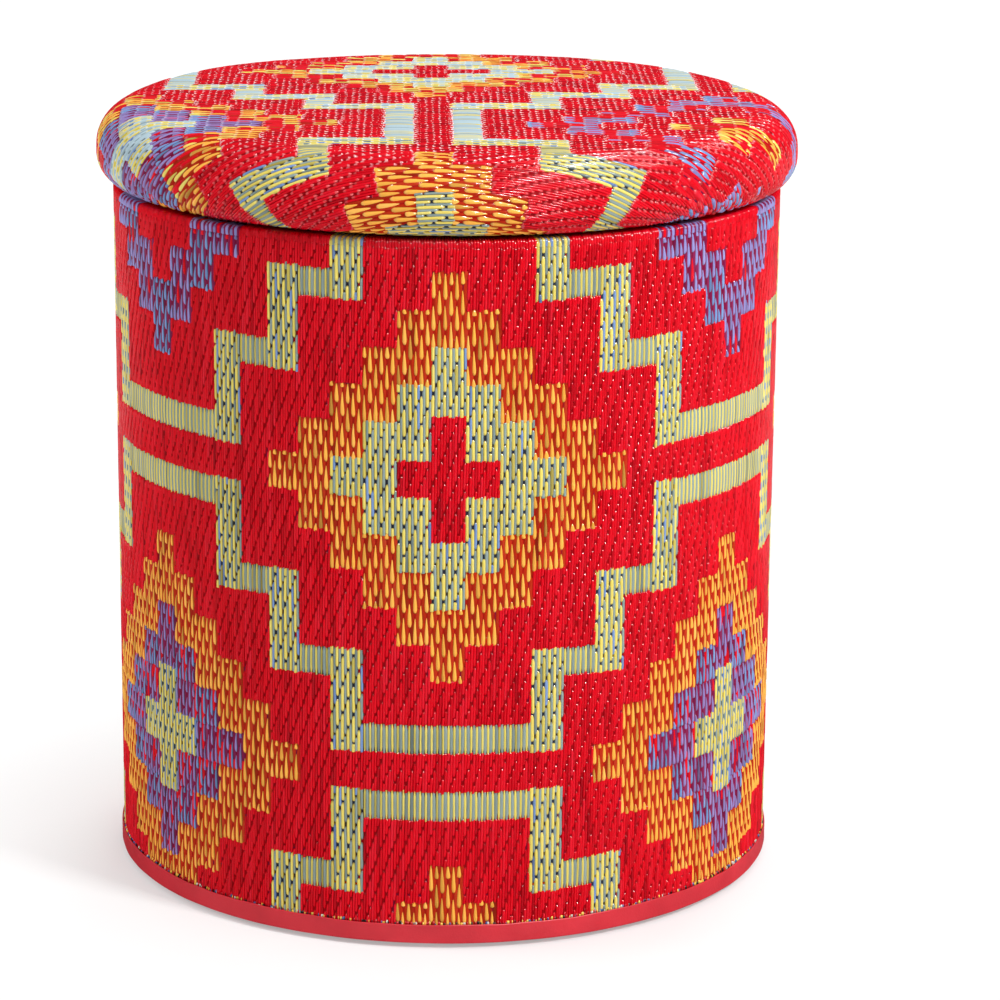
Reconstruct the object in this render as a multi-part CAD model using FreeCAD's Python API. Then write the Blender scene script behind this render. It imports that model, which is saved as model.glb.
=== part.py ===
import FreeCAD
import Part
import math
import os

# Storage pouf: a round plywood drum with a loose padded lid, both covered in woven straw matting.
# Millimetres, +Z up, origin on the floor at the centre of the drum, the front towards -Y.
# The drum's seams are at the back, towards +Y.

# Overall sizes
body_diameter = 386.0
drum_height = 400.0
lid_overhang = 9.4

# Sheet goods
mat_thickness = 2.0
vinyl_thickness = 1.0
lining_thickness = 1.0
dust_cover_thickness = 0.6

# Drum carcass
wall_thickness = 5.0
base_thickness = 12.0
hoop_width = 14.0
hoop_height = 16.0
batten_width = 40.0
batten_thickness = 8.0
floor_pad_thickness = 3.0
seam_gap = 0.6
seam_angle = 90.0

# Covered rim and foot
rim_edge_radius = 1.8
band_height = 11.0
band_turn_under = 26.0
dust_cover_overlap = 14.0
glide_height = 2.2
glide_diameter = 24.0
glide_rim_taper = 1.0
glide_inset = 48.0
glide_count = 4
glide_recess_depth = 0.9

# Padded lid
lid_roll_radius = 18.0
lid_side_height = 4.5
lid_shoulder_radius = 24.0
lid_crown_rise = 1.2
lid_board_thickness = 12.0
wadding_thickness = 6.0
lid_cover_turn_under = 54.4
lid_ring_width = 16.0
lid_ring_height = 14.0

# Fasteners
staple_crown = 10.0
staple_wire = 0.6
staple_width = 1.2
wall_staple_bite = 9.0
batten_staple_bite = 5.0
wall_staple_sink = 0.4
cover_staple_leg = 8.0
base_staple_count = 24
hoop_staple_count = 24
batten_staple_rows = 6
rim_staple_count = 24
rim_staple_height = 5.0
band_staple_count = 24
lid_staple_count = 24
glide_nail_head_diameter = 5.0
glide_nail_head_height = 0.5
glide_nail_shank_diameter = 2.4
glide_nail_bite = 9.0
screw_head_diameter = 8.0
screw_head_height = 3.0
screw_shank_diameter = 4.0
screw_bite = 8.0
ring_screw_count = 6

# Clearances
fit_clearance = 0.2
rest_clearance = 0.3
pad_clearance = 0.6
ring_clearance = 5.5
staple_clearance = 2.6
lining_edge_clearance = 1.2

# Radii that follow from the sizes above
body_radius = body_diameter / 2
wall_outer = body_radius - mat_thickness
wall_inner = wall_outer - wall_thickness
inside_radius = wall_inner - fit_clearance
hoop_inner = wall_inner - hoop_width
mouth_radius = hoop_inner - mat_thickness
batten_inner = inside_radius - batten_thickness
band_outer = body_radius + vinyl_thickness
flap_inner = band_outer - band_turn_under
dust_cover_radius = flap_inner + dust_cover_overlap
glide_circle = body_radius - glide_inset
lid_radius = body_radius + lid_overhang
lid_opening_radius = lid_radius - lid_cover_turn_under
ring_outer = mouth_radius - ring_clearance
ring_inner = ring_outer - lid_ring_width

# Levels that follow, from the floor up
dust_cover_low = glide_height
flap_low = dust_cover_low + dust_cover_thickness
carcass_low = flap_low + vinyl_thickness
band_top = flap_low + band_height
base_top = carcass_low + base_thickness
rim_level = drum_height - mat_thickness
hoop_low = rim_level - hoop_height
lid_low = drum_height + rest_clearance
lid_board_low = lid_low + mat_thickness
lid_board_top = lid_board_low + lid_board_thickness
lid_lining_low = lid_low - lining_thickness
ring_low = lid_lining_low - lid_ring_height
roll_centre_z = lid_low + lid_roll_radius
shoulder_centre_z = roll_centre_z + lid_side_height
crown_top = shoulder_centre_z + lid_shoulder_radius + lid_crown_rise
foam_top = crown_top - mat_thickness - wadding_thickness

Z_AXIS = FreeCAD.Vector(0, 0, 1)
ORIGIN = FreeCAD.Vector(0, 0, 0)


def at(radius, z):
    """A point of a turned profile, in the XZ plane."""
    return FreeCAD.Vector(radius, 0, z)


def line(start, end):
    return Part.LineSegment(start, end).toShape()


def arc(start, middle, end):
    return Part.Arc(start, middle, end).toShape()


def quarter_arc(centre_radius, centre_z, radius, from_angle, to_angle):
    """An arc of a turned profile; angles in degrees from the outward direction."""
    ends = []
    for angle in (from_angle, (from_angle + to_angle) / 2, to_angle):
        turn = math.radians(angle)
        ends.append(at(centre_radius + radius * math.cos(turn), centre_z + radius * math.sin(turn)))
    return arc(*ends)


def turned(edges, angle=360.0):
    """A solid of revolution about the Z axis from the edges of a closed profile."""
    face = Part.Face(Part.Wire(Part.__sortEdges__(edges)))
    return face.revolve(ORIGIN, Z_AXIS, angle)


def turned_polygon(corners, angle=360.0):
    edges = [line(at(*a), at(*b)) for a, b in zip(corners, corners[1:] + corners[:1])]
    return turned(edges, angle)


def disc(radius, low, high):
    return Part.makeCylinder(radius, high - low, at(0, low))


def ring(inner, outer, low, high):
    return turned_polygon([(inner, low), (outer, low), (outer, high), (inner, high)])


def sector(inner, outer, low, high, half_angle):
    """A ring segment centred on the seam direction; half_angle in degrees."""
    solid = turned_polygon([(inner, low), (outer, low), (outer, high), (inner, high)], 2 * half_angle)
    solid.rotate(ORIGIN, Z_AXIS, seam_angle - half_angle)
    return solid


def split_at_seam(solid, low, high):
    """Opens a ring-shaped piece by the thin gap where its two ends meet at the back."""
    gap = Part.makeBox(body_diameter, seam_gap, high - low, FreeCAD.Vector(0, -seam_gap / 2, low))
    gap.rotate(ORIGIN, Z_AXIS, seam_angle)
    return solid.cut(gap)


def around(solid, count, first_angle=0.0):
    """Copies of one solid, evenly spaced round the Z axis."""
    copies = []
    for index in range(count):
        one = solid.copy()
        one.rotate(ORIGIN, Z_AXIS, first_angle + index * 360.0 / count)
        copies.append(one)
    return copies


def staple(seat, depth, across, leg):
    """A staple whose crown sits at a point; depth is the way its legs go in, across the wire's flat."""
    tangent = FreeCAD.Vector(0, 1, 0)
    half = staple_crown / 2
    inner = half - staple_wire
    outline = [
        (-half, -staple_wire), (half, -staple_wire), (half, leg), (inner, leg),
        (inner, 0), (-inner, 0), (-inner, leg), (-half, leg),
    ]
    start = seat - across * (staple_width / 2)
    points = [start + tangent * along + depth * deep for along, deep in outline]
    face = Part.Face(Part.makePolygon(points + points[:1]))
    return face.extrude(across * staple_width)


def wall_staple(z, bite):
    """A staple driven inwards through the wall, its crown sunk just below the wall's outside."""
    seat = at(wall_outer - wall_staple_sink - staple_wire, z)
    leg = seat.x - inside_radius + bite
    return staple(seat, FreeCAD.Vector(-1, 0, 0), Z_AXIS, leg)


def drum_wall():
    return split_at_seam(ring(wall_inner, wall_outer, carcass_low, rim_level), carcass_low, rim_level)


def batten_half_angle(margin=0.0):
    return math.degrees((batten_width / 2 + margin) / inside_radius)


def seam_batten():
    return sector(batten_inner, inside_radius, base_top, hoop_low, batten_half_angle())


def batten_staples():
    """Rows of staples either side of the seam, into the batten behind it."""
    staples = []
    pitch = (hoop_low - base_top) / batten_staple_rows
    for row in range(batten_staple_rows):
        for side in (-1, 1):
            one = wall_staple(base_top + (row + 0.5) * pitch, batten_staple_bite)
            one.rotate(ORIGIN, Z_AXIS, seam_angle + side * batten_half_angle() / 2)
            staples.append(one)
    return Part.makeCompound(staples)


def base_board():
    return disc(inside_radius, carcass_low, base_top)


def base_staples():
    one = wall_staple((carcass_low + base_top) / 2, wall_staple_bite)
    return Part.makeCompound(around(one, base_staple_count, seam_angle + 180.0 / base_staple_count))


def top_hoop():
    return ring(hoop_inner, inside_radius, hoop_low, rim_level)


def hoop_staples():
    one = wall_staple((hoop_low + rim_level) / 2, wall_staple_bite)
    return Part.makeCompound(around(one, hoop_staple_count, seam_angle + 180.0 / hoop_staple_count))


def side_cover():
    """The mat: up the outside of the wall, over the rim and down the inside of the hoop."""
    edge = rim_edge_radius
    outer_corner = body_radius - edge
    inner_corner = mouth_radius + edge
    shoulder = drum_height - edge
    profile = [
        line(at(body_radius, carcass_low), at(body_radius, shoulder)),
        quarter_arc(outer_corner, shoulder, edge, 0, 90),
        line(at(outer_corner, drum_height), at(inner_corner, drum_height)),
        quarter_arc(inner_corner, shoulder, edge, 90, 180),
        line(at(mouth_radius, shoulder), at(mouth_radius, hoop_low)),
        line(at(mouth_radius, hoop_low), at(hoop_inner, hoop_low)),
        line(at(hoop_inner, hoop_low), at(hoop_inner, rim_level)),
        line(at(hoop_inner, rim_level), at(wall_outer, rim_level)),
        line(at(wall_outer, rim_level), at(wall_outer, carcass_low)),
        line(at(wall_outer, carcass_low), at(body_radius, carcass_low)),
    ]
    return split_at_seam(turned(profile), carcass_low, drum_height)


def rim_staples():
    seat = at(mouth_radius, hoop_low + rim_staple_height)
    one = staple(seat, FreeCAD.Vector(1, 0, 0), Z_AXIS, cover_staple_leg)
    return Part.makeCompound(around(one, rim_staple_count, seam_angle + 180.0 / rim_staple_count))


def foot_band():
    """The vinyl strip: over the mat's cut edge, round the corner and flat under the base."""
    strip = turned_polygon([
        (body_radius, band_top), (band_outer, band_top), (band_outer, flap_low),
        (flap_inner, flap_low), (flap_inner, carcass_low), (body_radius, carcass_low),
    ])
    return split_at_seam(strip, flap_low, band_top)


def underside_cover():
    return disc(dust_cover_radius, dust_cover_low, flap_low)


def band_staples():
    seat = at(flap_inner + dust_cover_overlap / 2, dust_cover_low)
    one = staple(seat, Z_AXIS, FreeCAD.Vector(1, 0, 0), cover_staple_leg)
    return Part.makeCompound(around(one, band_staple_count, 180.0 / band_staple_count))


def glide_places(solid):
    """Moves a glide or its nail from the axis out to each of its places."""
    moved = solid.copy()
    moved.translate(at(glide_circle, 0))
    return Part.makeCompound(around(moved, glide_count, 180.0 / glide_count))


def glides():
    """Round plastic glides, bored and recessed for the nail that holds each one."""
    bore = glide_nail_shank_diameter / 2 + fit_clearance
    recess = glide_nail_head_diameter / 2 + fit_clearance
    outer = glide_diameter / 2
    return glide_places(turned_polygon([
        (recess, 0), (outer - glide_rim_taper, 0), (outer, glide_height), (bore, glide_height),
        (bore, glide_recess_depth), (recess, glide_recess_depth),
    ]))


def glide_nails():
    head_low = glide_recess_depth - glide_nail_head_height
    head = disc(glide_nail_head_diameter / 2, head_low, glide_recess_depth)
    shank = disc(glide_nail_shank_diameter / 2, glide_recess_depth, carcass_low + glide_nail_bite)
    return glide_places(head.fuse(shank).removeSplitter())


def inside_space(inset, low, high):
    """The drum's inside less a margin, going round the batten at the seam."""
    room = disc(inside_radius - inset, low, high)
    half_angle = batten_half_angle(fit_clearance + inset)
    return room.cut(sector(batten_inner - fit_clearance - inset, wall_outer, low, high, half_angle))


def side_lining():
    return inside_space(0.0, base_top, hoop_low).cut(inside_space(lining_thickness, base_top, hoop_low))


def floor_pad():
    return inside_space(lining_thickness + pad_clearance, base_top, base_top + floor_pad_thickness)


def lid_form(inset):
    """The lid's padded shape, drawn in by a margin: crown, shoulder, side and rolled lower edge."""
    shoulder_centre = lid_radius - lid_shoulder_radius
    roll_centre = lid_radius - lid_roll_radius
    shoulder = lid_shoulder_radius - inset
    roll = lid_roll_radius - inset
    rise = lid_shoulder_radius + lid_crown_rise
    crown = (shoulder_centre ** 2 + rise ** 2 - lid_shoulder_radius ** 2) / (2 * lid_crown_rise)
    crown_centre_z = crown_top - crown
    meet = math.degrees(math.asin(shoulder_centre / (crown - lid_shoulder_radius)))
    low = lid_low + inset
    top = crown_top - inset
    profile = [
        quarter_arc(0, crown_centre_z, crown - inset, 90, 90 - meet),
        quarter_arc(shoulder_centre, shoulder_centre_z, shoulder, 90 - meet, 0),
        line(at(lid_radius - inset, shoulder_centre_z), at(lid_radius - inset, roll_centre_z)),
        quarter_arc(roll_centre, roll_centre_z, roll, 0, -90),
        line(at(roll_centre, low), at(0, low)),
        line(at(0, low), at(0, top)),
    ]
    return turned(profile)


def lid_board():
    return disc(lid_radius - lid_roll_radius, lid_board_low, lid_board_top)


def lid_foam():
    """A flat slab cut to the board's size; the wadding rounds it off."""
    return disc(lid_radius - lid_roll_radius, lid_board_top, foam_top)


def lid_wadding():
    return lid_form(mat_thickness).cut(lid_foam()).cut(lid_board())


def lid_cover():
    opening = disc(lid_opening_radius, lid_low, lid_board_low)
    return lid_form(0.0).cut(lid_form(mat_thickness)).cut(opening)


def lid_lining():
    return disc(mouth_radius - lining_edge_clearance, lid_lining_low, lid_low)


def lid_staples():
    seat = at(mouth_radius - staple_clearance, lid_lining_low)
    one = staple(seat, Z_AXIS, FreeCAD.Vector(1, 0, 0), cover_staple_leg)
    return Part.makeCompound(around(one, lid_staple_count))


def lid_ring():
    return ring(ring_inner, ring_outer, ring_low, lid_lining_low)


def ring_screws():
    """Countersunk screws, up through the ring, lining and mat into the lid board."""
    circle = (ring_inner + ring_outer) / 2
    head = screw_head_diameter / 2
    shank = screw_shank_diameter / 2
    one = turned_polygon([
        (0, ring_low), (head, ring_low), (shank, ring_low + screw_head_height),
        (shank, lid_board_low + screw_bite), (0, lid_board_low + screw_bite),
    ])
    one.translate(at(circle, 0))
    return Part.makeCompound(around(one, ring_screw_count, 180.0 / ring_screw_count))


PIECES = [
    drum_wall, seam_batten, batten_staples, base_board, base_staples, top_hoop, hoop_staples,
    side_cover, rim_staples, foot_band, underside_cover, band_staples, glides, glide_nails,
    side_lining, floor_pad, lid_board, lid_foam, lid_wadding, lid_cover, lid_lining,
    lid_staples, lid_ring, ring_screws,
]

os.makedirs("parts", exist_ok=True)
for piece in PIECES:
    piece().exportStep("parts/" + piece.__name__ + ".step")
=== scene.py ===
import math

import bpy
import numpy as np
from mathutils import Matrix, Vector


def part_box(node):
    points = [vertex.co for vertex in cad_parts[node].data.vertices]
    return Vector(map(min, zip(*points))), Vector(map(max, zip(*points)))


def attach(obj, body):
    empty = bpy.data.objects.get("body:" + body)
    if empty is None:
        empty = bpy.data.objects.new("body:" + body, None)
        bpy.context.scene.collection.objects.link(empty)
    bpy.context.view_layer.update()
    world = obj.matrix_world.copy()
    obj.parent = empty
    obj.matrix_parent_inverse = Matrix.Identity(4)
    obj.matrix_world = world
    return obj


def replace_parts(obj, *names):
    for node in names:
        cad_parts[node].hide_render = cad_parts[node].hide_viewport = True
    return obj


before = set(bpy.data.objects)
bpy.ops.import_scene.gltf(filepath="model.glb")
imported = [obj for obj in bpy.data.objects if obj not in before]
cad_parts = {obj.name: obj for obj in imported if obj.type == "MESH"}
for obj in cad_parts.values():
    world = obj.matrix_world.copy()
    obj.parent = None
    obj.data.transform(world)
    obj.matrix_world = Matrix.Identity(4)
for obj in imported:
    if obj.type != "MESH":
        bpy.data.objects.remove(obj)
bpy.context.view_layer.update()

rng = np.random.default_rng(7)

# Everything is in metres, in the frame of the CAD model: +Z up, the front towards -Y.

# Sizes taken from the CAD solids
side_low, side_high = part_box("side_cover")
lid_low, lid_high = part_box("lid_cover")
band_low, band_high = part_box("foot_band")
_, wall_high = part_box("drum_wall")
hoop_low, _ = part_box("top_hoop")
lining_low, lining_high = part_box("side_lining")
pad_low, pad_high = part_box("floor_pad")
under_low, under_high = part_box("underside_cover")
lid_lining_low, lid_lining_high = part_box("lid_lining")
foam_low, foam_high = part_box("lid_foam")
board_low, board_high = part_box("lid_board")
_, ring_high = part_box("lid_ring")
screws_low, screws_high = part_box("ring_screws")

MAT = side_high.x - wall_high.x
BODY_RADIUS = side_high.x
WALL_RADIUS = wall_high.x
LID_RADIUS, LID_BOTTOM, LID_TOP = lid_high.x, lid_low.z, lid_high.z
DRUM_TOP = side_high.z
HOOP_WIDTH, RING_WIDTH, WALL_THICKNESS = 0.014, 0.016, 0.005
MOUTH_RADIUS = WALL_RADIUS - WALL_THICKNESS - HOOP_WIDTH - MAT

# The lid's outline: shoulder, straight side, rolled lower edge and crown, and where its mat ends under it
LID_SHOULDER, LID_SIDE, LID_ROLL, LID_CROWN_RISE = 0.024, 0.0045, 0.018, 0.0012
LID_MAT_END = 0.152

# Half the batten's width behind the seam and the slope beside it, in radians, and the gap between pieces
BATTEN_HALF, BATTEN_SLOPE = 0.1190, 0.007
GAP = 0.0001

# The weave: straws stand side by side round the drum, and rows are counted along a straw
STRAWS_ROUND = 776
STRAWS_PER_STEP, ROWS_PER_STEP = 12, 5
STEP_LENGTH, LID_STEP_LENGTH = 0.0207, 0.0209
PITCH = 2 * math.pi * BODY_RADIUS / STRAWS_ROUND
STEP_ANGLE = STRAWS_PER_STEP * 2 * math.pi / STRAWS_ROUND
TWILL = 4
GROUND, GROUND_THICKNESS = 0.0006, 0.0004
CROWN = MAT - GROUND
FACES_PER_PIECE = 90000

# A float's section: the power of its dome, the shares of its height at the edge and above it, and how far
# its ends go down
DOME, DOME_EDGE, DOME_TOP, TUCK = 2.2, 0.05, 0.95, 0.0004

# Where the pattern lies on the drum and on the lid
MOTIF_LEVEL, MOTIF_TURN = 0.2686, 0.071
FOOT_PULL, FOOT_PULL_FROM, FOOT_PULL_OVER = 0.0035, 0.135, 0.09
SEAM = 0.0006
LID_SHIFT_X, LID_SHIFT_Y, LID_TWIST, LID_LEAN = -0.0079, -0.0860, 0.010, 0.014

# Distances from the lid's middle, along its mat, where effects end, and over how much they fade out
SWELL_END, LEAN_END, HIGHLIGHT_END = (0.222, 0.03), (0.235, 0.04), (0.196, 0.03)

# Unevenness: of tone from straw to straw and float to float, of place, lean, length, width and height
STRAW_TONE, FLOAT_TONE = 0.10, 0.14
STRAY_ACROSS, STRAY_LEAN, STRAY_ROWS = 0.05 * PITCH, 0.10 * PITCH, 0.08
UNEVEN_WIDTH, UNEVEN_HEIGHT = 0.07, 0.14

# Areas of the pattern
RED, ORANGE, GREY, LILAC, BAR, VIOLET, AZURE = range(7)

# Colours of the plastic, as sRGB
COLOURS = {
    "red": (0.86, 0.01, 0.10),
    "rust": (0.72, 0.15, 0.02),
    "gold": (0.98, 0.70, 0.28),
    "lemon": (0.91, 0.83, 0.40),
    "steel": (0.54, 0.61, 0.60),
    "blue": (0.46, 0.58, 0.79),
    "lilac": (0.56, 0.54, 0.78),
    "plum": (0.50, 0.09, 0.28),
    "violet": (0.57, 0.50, 0.74),
    # pale blue-white, only on the lid's bars and greys: a painted sheen, standing in for a reflection
    "painted_sheen": (0.70, 0.79, 0.83),
}
COLOUR_NAMES = list(COLOURS)

# Shares of the floats: lilac ones lost to red, greys gone blue at an area's edge and inside it, lemon ones
# among worn gold, plum ones low in the purples and blue ones high in azure. An area counts as worn, and its
# bars and greys take the painted sheen, a painted reflection, where more than the first of the last two
# shares is lost; lilac is blue in cells past the second.
LILAC_LOST, STRAY_EDGE, STRAY_INSIDE = 0.10, 0.5, 0.1
WORN_LEMON, LOW_PLUM, AZURE_BLUE = 0.4, 0.8, 0.6
WORN_AND_SHEEN_LOST, BLUE_CELLS = 0.1, 0.60

# Shares of floats lost on the lid's top, whose start and fade are set last: in cells up to a number, and in
# others. There the bars and greys also take the painted sheen, a painted reflection
LILAC_CELLS, LILAC_WORN, ORANGE_CELLS, ORANGE_WORN = 0.45, (0.80, 0.10), 0.4, (0.75, 0.12)
BAR_SHEEN, GREY_SHEEN = 0.6, 0.3
WORN_AND_SHEEN_FROM, WORN_AND_SHEEN_OVER = -0.16, 0.06

# How strong the painted highlights are: painted light on the floats' bends that stands in for glints. They
# are set at least, on the lid's top, by chance and where pointed. The red takes painted shade that darkens it
# as they grow stronger, less a slight lift
HIGHLIGHT_LEAST, HIGHLIGHT_TOP, HIGHLIGHT_MOST, HIGHLIGHT_SPREAD, HIGHLIGHT_POINTED = 0.12, 0.88, 1.15, 0.6, 0.4
RED_SHADE, RED_LIFT = 0.25, 0.05


def linear(colour):
    """sRGB to the linear values that shader sockets take."""
    return tuple(c / 12.92 if c <= 0.04045 else ((c + 0.055) / 1.055) ** 2.4 for c in colour) + (1.0,)


def fade(value, end, slope):
    """1 well below the end, falling to 0 there."""
    return np.clip((end - value) / slope, 0, 1)


# The pattern repeats after so many steps across and along the straws
ACROSS, ALONG = 20, 16

# The lattice: its runs across the straws as (first and last column, lowest and highest level), and those
# along them as (column, lowest and highest level)
BAR_RUNS = ((7, 10, 0.5, 1.3), (5, 7, 2.7, 3.5), (3, 5, 4.7, 5.5), (0, 3, 6.7, 7.5))
POST_RUNS = ((7, 0.5, 3.5), (5, 2.7, 5.5), (3, 4.7, 7.5))

# A motif: its last outer and inner ring, and the cross in its middle
OUTER_RING, INNER_RING, CROSS_RING, CROSS_ARM = 5, 3, 1, 1.7


def motif(u, v):
    """Column, steps along, ring and cross of the motifs that lie a whole number of repeats from u = v = 0."""
    across, along = (np.abs(x - repeat * np.round(x / repeat)) for x, repeat in ((u, ACROSS), (v, ALONG)))
    column = np.floor(across + 0.5)
    ring = column + np.floor(along + 0.5)
    return column, along, ring, (ring <= CROSS_RING) | ((column == 0) & (along < CROSS_ARM))


def pattern(u, v):
    """The area at u steps across and v steps along the straws from the centre of a first motif."""
    area = np.full(u.shape, RED)
    column, along, ring, cross = motif(u, v)
    for first, last, low, high in BAR_RUNS:
        area[(column >= first) & (column <= last) & (along > low) & (along < high)] = BAR
    for post, low, high in POST_RUNS:
        area[(column == post) & (along > low) & (along < high)] = GREY
    for rings, colour in ((ring <= OUTER_RING, ORANGE), (ring <= INNER_RING, GREY), (cross, RED)):
        area[rings] = colour
    u, v = u - ACROSS / 2, v - ALONG / 2
    column, along, ring, cross = motif(u, v)
    tips = (ring == INNER_RING) & (column >= 1)
    for odd, colours in ((0, (LILAC, RED, RED, ORANGE)), (1, (ORANGE, VIOLET, AZURE, GREY))):
        here = np.round(v / ALONG) % 2 == odd
        for rings, colour in zip((ring <= OUTER_RING, ring <= INNER_RING, tips, cross), colours):
            area[rings & here] = colour
    return area


def steps_along(row):
    """Steps along the straws at a row of the weave."""
    return (row - ROWS_PER_STEP // 2) / ROWS_PER_STEP


def floats_of(area, first_row):
    """Straw, first and past-last row and area of each float of a field, and whether each of its ends dips
    down rather than gives way to another area. The field has one row of cells per straw."""
    straws, rows = area.shape
    index = np.arange(straws)[:, None]
    row = np.arange(rows)[None, :] + first_row
    dips = ((row - index + 1) % TWILL == 0) & (area != BAR)
    changes = np.ones_like(dips)
    changes[:, 1:] = area[:, 1:] != area[:, :-1]
    straw, first = np.nonzero(dips | changes)
    low_dip = ~changes[straw, first]
    last = np.full_like(first, rows)
    high_dip = np.zeros_like(low_dip)
    same = straw[1:] == straw[:-1]
    last[:-1][same] = first[1:][same]
    high_dip[:-1][same] = low_dip[1:][same]
    return straw, first, last, area[straw, first], low_dip, high_dip


def edge_straws(area):
    """True where a straw is among the first two of an area, beside the red."""
    edge = np.zeros(area.shape, bool)
    edge[1:] = area[:-1] == RED
    edge[2:] |= area[:-2] == RED
    return edge


def colours_of(area, straw, edge, lost, cell, under_lilac="plum"):
    """The colour of each float. In every area but the red, straws of two colours take turns, and every
    second straw lies uppermost.

    lost is the share of the uppermost floats that have another colour instead, cell a number from 0 to 1
    for each step of the pattern, and under_lilac the colour of the lower straws of lilac areas.
    """
    above = straw % 2 == 1
    purple = (area == VIOLET) | (area == AZURE)
    mood = rng.random(area.shape)
    # where floats are lost the area is worn, and its bars and greys also take the painted sheen
    worn_and_sheen = lost > WORN_AND_SHEEN_LOST
    woven = (area == GREY) | (area == BAR)
    shown = rng.random(area.shape) >= lost
    stray = rng.random(area.shape) < np.where(edge, STRAY_EDGE, STRAY_INSIDE)
    colour = np.full(area.shape, COLOUR_NAMES.index("red"))
    for chosen, name in (
        ((area == LILAC) & ~above, under_lilac),
        ((area == ORANGE) & above & shown, "gold"),
        ((area == ORANGE) & ~above & shown, "rust"),
        ((area == ORANGE) & above & shown & worn_and_sheen & (mood < WORN_LEMON), "lemon"),
        (woven, "steel"),
        # painted sheen: a painted reflection on the bars and greys of worn areas
        (woven & worn_and_sheen, "painted_sheen"),
        (woven & above & shown, "lemon"),
        ((area == LILAC) & above & shown, "lilac"),
        ((area == LILAC) & above & shown & (cell > BLUE_CELLS), "blue"),
        ((area == GREY) & stray & ~above, "blue"),
        (purple & ~above & (mood < LOW_PLUM), "plum"),
        (purple & above & shown, "violet"),
        ((area == AZURE) & above & shown & (mood < AZURE_BLUE), "blue"),
    ):
        colour[chosen] = COLOUR_NAMES.index(name)
    return colour


# The kinds of float: points across and along, half width, height, rows lost at a dip at the lower and
# the upper end, and rows run on at a change of area
FLOAT_KINDS = {
    "rib": (5, 10, 0.58 * PITCH, 0.86 * CROWN, 0.04, 0.05, 0.25),
    "needle": (5, 10, 0.88 * PITCH, 0.86 * CROWN, 0.24, 0.06, 0.30),
    "thread": (5, 10, 0.96 * PITCH, 0.86 * CROWN, 0.20, 0.06, 0.20),
    "line": (5, 10, 0.74 * PITCH, 0.86 * CROWN, 0.12, 0.05, 0.25),
    "slat": (5, 10, 0.73 * PITCH, 0.84 * CROWN, 0.10, 0.06, 0.30),
    "strip": (5, 10, 0.62 * PITCH, 0.78 * CROWN, 0.05, 0.05, 0.30),
    "bed": (3, 6, 0.76 * PITCH, 0.62 * CROWN, -0.25, -0.25, 0.30),
    "bar": (3, 7, 0.44 * PITCH, 0.74 * CROWN, 0.0, 0.0, 0.30),
    "broad_bar": (3, 7, 0.66 * PITCH, 0.76 * CROWN, 0.0, 0.0, 0.20),
}
POINTED = ("needle", "thread", "line")
STANDING = POINTED + ("rib", "slat", "strip")

# How far the top of a float leans to one side
LEAN = {"rib": 0.30 * PITCH} | {kind: -0.15 * PITCH for kind in POINTED}


def float_kind(straw, area):
    """The name of each float's kind."""
    above = straw % 2 == 1
    kind = np.full(area.shape, "rib", dtype="<U9")
    for of_area, over, under in (
        (ORANGE, "needle", "bed"), (GREY, "slat", "strip"), (LILAC, "thread", "bed"),
        (BAR, "bar", "broad_bar"), (VIOLET, "line", "bed"), (AZURE, "line", "bed"),
    ):
        kind[(area == of_area) & above] = over
        kind[(area == of_area) & ~above] = under
    return kind


def along_float(kind):
    """Shares of a float's length at its points: close together where it goes down at its ends."""
    if kind in STANDING:
        return np.array((0, 0.03, 0.08, 0.15, 0.30, 0.50, 0.70, 0.86, 0.94, 1.0))
    return 0.5 - 0.5 * np.cos(np.linspace(0, math.pi, FLOAT_KINDS[kind][1]))


def outline(kind, t):
    """Half width of a float along it, as a share of its widest."""
    if kind in POINTED:
        return np.clip(np.minimum((t / 0.16) ** 0.5, ((1 - t) / 0.72) ** 0.75), 0, 1)
    if kind in STANDING:
        return np.clip(np.minimum(t, 1 - t) / 0.09, 0, 1) ** 0.5
    return np.clip(np.minimum(t, 1 - t) * 8, 0, 1) ** 0.7


def rise_of(kind, t):
    """Height of a float along it, as a share of its highest."""
    if kind in STANDING:
        low, high = (0.13, 0.55) if kind in POINTED else (0.13, 0.16)
        return np.prod([np.sin(np.clip(x, 0, 1) * math.pi / 2) for x in (t / low, (1 - t) / high)], axis=0)
    return (4 * t * (1 - t)) ** 0.30


def float_points(kind, centre, first, last, half_width, crown, lean, place):
    """Points, quads and shares along and across of many floats of one kind, laid by place(p, q, h)."""
    m, n = FLOAT_KINDS[kind][:2]
    t = along_float(kind)[:, None]
    w = np.linspace(-1, 1, m) if m < 5 else np.array((-1, -0.70, 0, 0.70, 1))
    centre, first, last, half_width, crown, lean = (
        x[:, None, None] for x in (centre, first, last, half_width, crown, lean))
    q = first + (last - first) * t + np.zeros(m)
    p = centre + half_width * outline(kind, t) * w + lean * (t - 0.5)
    rise = rise_of(kind, t)
    dome = DOME_EDGE + DOME_TOP * (1 - np.abs(w) ** DOME)
    h = crown * rise * dome - TUCK * (1 - rise)
    shape = (len(centre), n, m)
    shares = [np.broadcast_to(x, shape).reshape(-1) for x in (t, 0.5 + 0.5 * w)]
    return place(p, q, h).reshape(-1, 3), strip_faces(len(centre), n, m), *shares


def strip_faces(number, n, m):
    """Quads of many grids of n by m points each."""
    corner = np.arange(n * m).reshape(n, m)
    quad = np.stack([corner[:-1, :-1], corner[:-1, 1:], corner[1:, 1:], corner[1:, :-1]], axis=-1)
    return (quad.reshape(1, -1, 4) + (np.arange(number) * n * m)[:, None, None]).reshape(-1, 4)


def ring_faces(n, m):
    """Quads of a grid of n by m points that closes both ways."""
    a = np.arange(n * m).reshape(n, m)
    right = np.roll(a, -1, axis=0)
    return np.stack([a, np.roll(a, -1, axis=1), np.roll(right, -1, axis=1), right], axis=-1)


# Turns a quad over, from the same corner
FLIP = [0, 3, 2, 1]


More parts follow.
